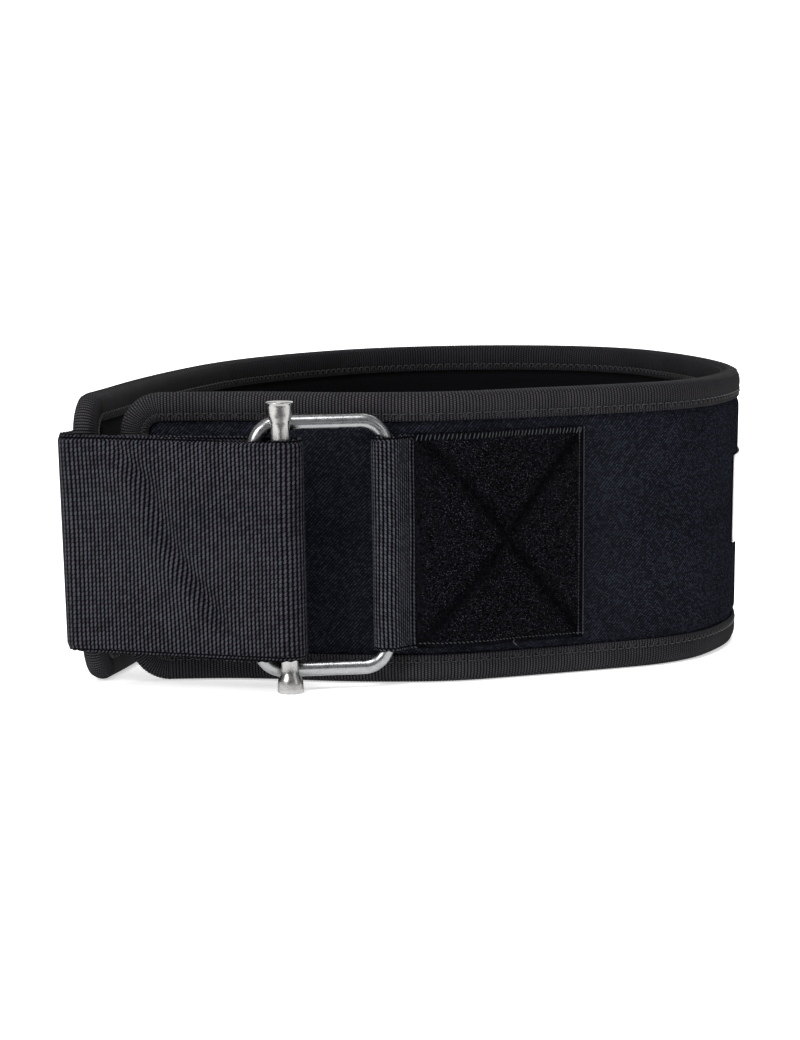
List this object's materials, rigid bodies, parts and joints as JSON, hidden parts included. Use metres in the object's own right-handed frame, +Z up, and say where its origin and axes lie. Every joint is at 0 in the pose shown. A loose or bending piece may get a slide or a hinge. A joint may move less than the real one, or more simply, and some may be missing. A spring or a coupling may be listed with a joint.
{
  "type": "weightlifting belt",
  "caption": "Wide padded waist belt with ribbed edge binding, a woven strap and a self-locking wire buckle, fastened and standing on its lower rim.",
  "frame": {"origin": "under the middle of the belt's bounding box, on the surface that it stands on", "axes": "+Z up, along the height of the band; -Y towards the buckle; +X to the right, seen from the buckle's side"},
  "size_m": [0.2426, 0.277, 0.1],
  "materials": {
    "twill": "matt diagonal twill",
    "lining": "matt brushed cloth",
    "binding": "ribbed woven tape",
    "strap_webbing": "coarse woven webbing",
    "steel": "drawn and lightly polished",
    "loop_webbing": "woven webbing",
    "hook_cloth": "fuzzy hook-and-loop cloth",
    "label_print": "smooth matt print"
  },
  "bodies": {
    "root": {"padded_band": "twill", "inner_lining": "lining", "edge_binding": "binding", "strap": "strap_webbing", "frame_ring": "steel", "slide_bar": "steel", "keeper_loop": "loop_webbing", "hook_patch": "hook_cloth", "side_label": "label_print"}
  },
  "joints": []
}
